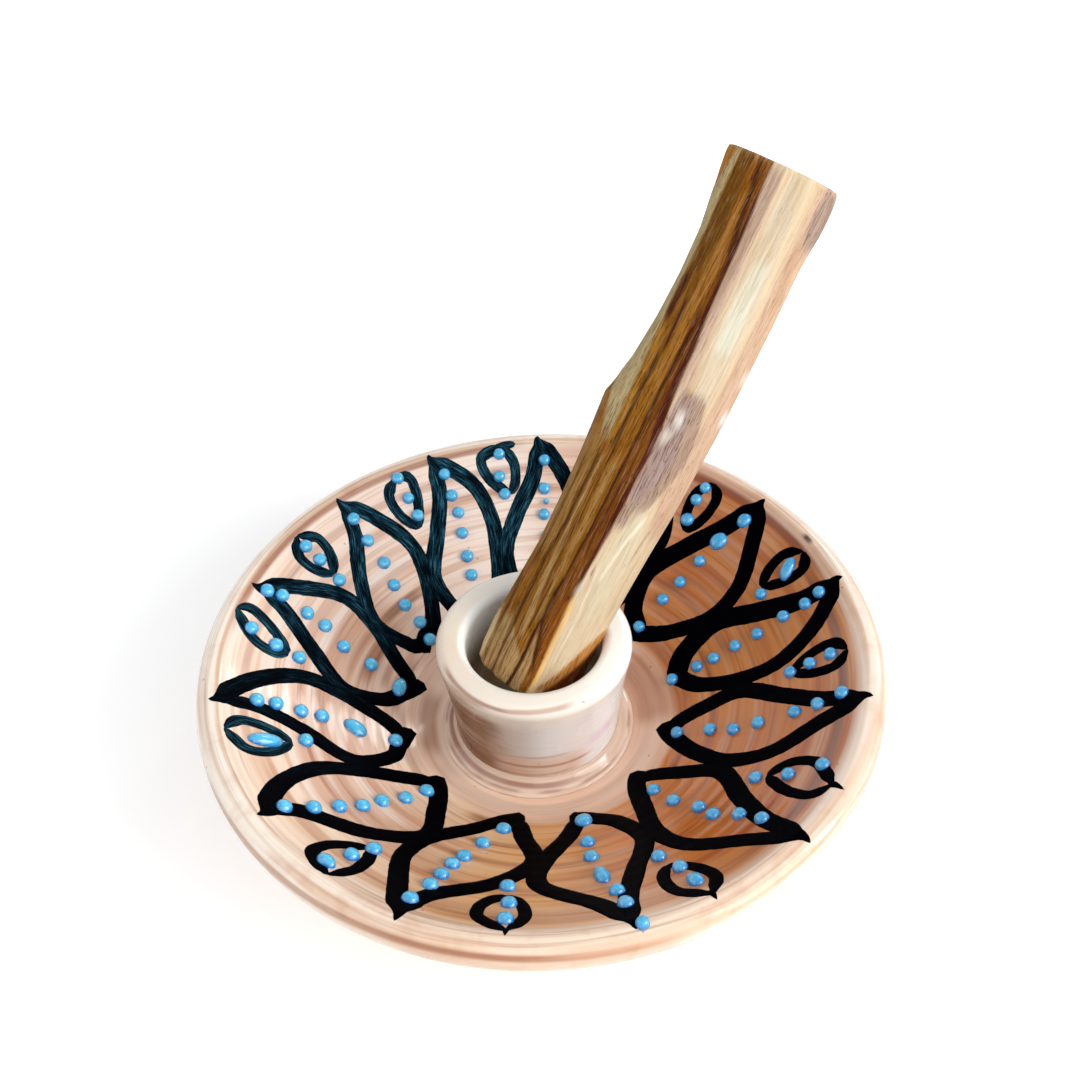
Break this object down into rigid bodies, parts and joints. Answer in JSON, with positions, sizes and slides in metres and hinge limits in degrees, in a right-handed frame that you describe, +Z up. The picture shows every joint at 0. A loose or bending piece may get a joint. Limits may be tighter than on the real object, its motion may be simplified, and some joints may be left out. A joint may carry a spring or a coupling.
{
  "type": "palo santo holder",
  "caption": "Glazed ceramic saucer with a thick-lipped cup luted on its floor, which holds a leaning split wood stick and catches its ash; brushed petals and raised beads ring the bowl.",
  "frame": {"origin": "on the table under the centre of the foot ring", "axes": "+Z up out of the bowl; +X to the right and +Y to the back as the picture shows the holder, so the stick leans towards +X and +Y"},
  "size_m": [0.125, 0.125, 0.1061],
  "materials": {
    "saucer_glaze": "clear glaze over peach slip with concentric brown brush streaks",
    "cup_glaze": "clear glaze over cream slip with brown wash bands",
    "fillet_glaze": "clear glaze pooled over brown slip",
    "stick_wood": "raw split wood, cream sapwood and brown heartwood",
    "line_enamel": "glossy black brush enamel",
    "bead_enamel": "glossy sky-blue raised enamel"
  },
  "bodies": {
    "holder": {"saucer": "saucer_glaze", "cup": "cup_glaze", "luting_fillet": "fillet_glaze", "petal_lines": "line_enamel", "bud_lines": "line_enamel", "petal_beads": "bead_enamel", "bud_beads": "bead_enamel"},
    "stick": {"palo_santo_stick": "stick_wood"}
  },
  "joints": [
    {"name": "stick_lift", "type": "slide", "parent": "holder", "child": "stick", "axis": [0, 0, 1], "range_m": [0, 0.04]}
  ]
}
